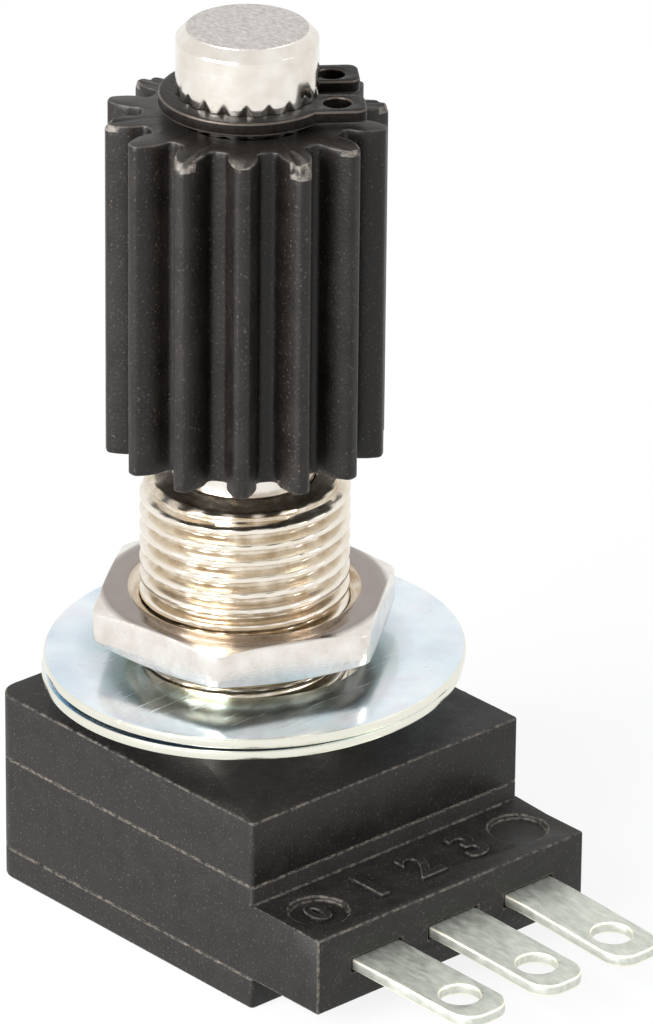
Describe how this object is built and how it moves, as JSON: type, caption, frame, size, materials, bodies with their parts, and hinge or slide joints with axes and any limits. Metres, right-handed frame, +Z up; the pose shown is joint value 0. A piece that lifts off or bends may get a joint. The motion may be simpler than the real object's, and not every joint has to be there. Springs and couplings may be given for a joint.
{
  "type": "rotary potentiometer",
  "caption": "Panel-mount rotary potentiometer with a toothed pinion on its shaft, a threaded bushing with nut and washers, and flat solder terminals.",
  "frame": {"origin": "on the shaft axis, at the face of the bushing shoulder that bears on a panel", "axes": "+Z up the shaft, -Y the way the solder terminals point, +X across the housing"},
  "size_m": [0.0192, 0.0309, 0.0422],
  "materials": {
    "moulded_housing": "moulded, fine satin",
    "nickel_plated_bushing": "bright nickel plate",
    "nickel_plated_nut": "bright nickel plate",
    "zinc_plated_washer": "clear zinc plate",
    "nickel_plated_shaft": "nickel plate with a sawn end face",
    "black_nylon": "moulded, satin",
    "phosphated_spring_steel": "black phosphate",
    "plain_steel": "rolled",
    "rotor_nylon": "moulded",
    "spring_bronze": "rolled",
    "phenolic_board": "pressed laminate",
    "carbon_film": "printed film",
    "silver_film": "printed film",
    "brass_eyelet": "rolled",
    "tin_plated_brass": "dull tin plate"
  },
  "bodies": {
    "housing": {"housing_cover": "moulded_housing", "housing_body": "moulded_housing", "rear_cover": "moulded_housing", "bushing": "nickel_plated_bushing", "hex_nut": "nickel_plated_nut", "lower_washer": "zinc_plated_washer", "upper_washer": "zinc_plated_washer", "thrust_washer": "plain_steel", "element_board": "phenolic_board", "resistive_track": "carbon_film", "collector_ring": "silver_film", "terminal_eyelets": "brass_eyelet", "terminal_1": "tin_plated_brass", "terminal_2": "tin_plated_brass", "terminal_3": "tin_plated_brass"},
    "shaft_assembly": {"shaft": "nickel_plated_shaft", "pinion_gear": "black_nylon", "retaining_ring": "phosphated_spring_steel", "shaft_clip": "plain_steel", "rotor": "rotor_nylon", "wiper": "spring_bronze"}
  },
  "joints": [
    {"name": "shaft_turn", "type": "hinge", "parent": "housing", "child": "shaft_assembly", "pos_m": [0, 0, 0], "axis": [0, 0, 1], "range_deg": [-150, 150]}
  ]
}
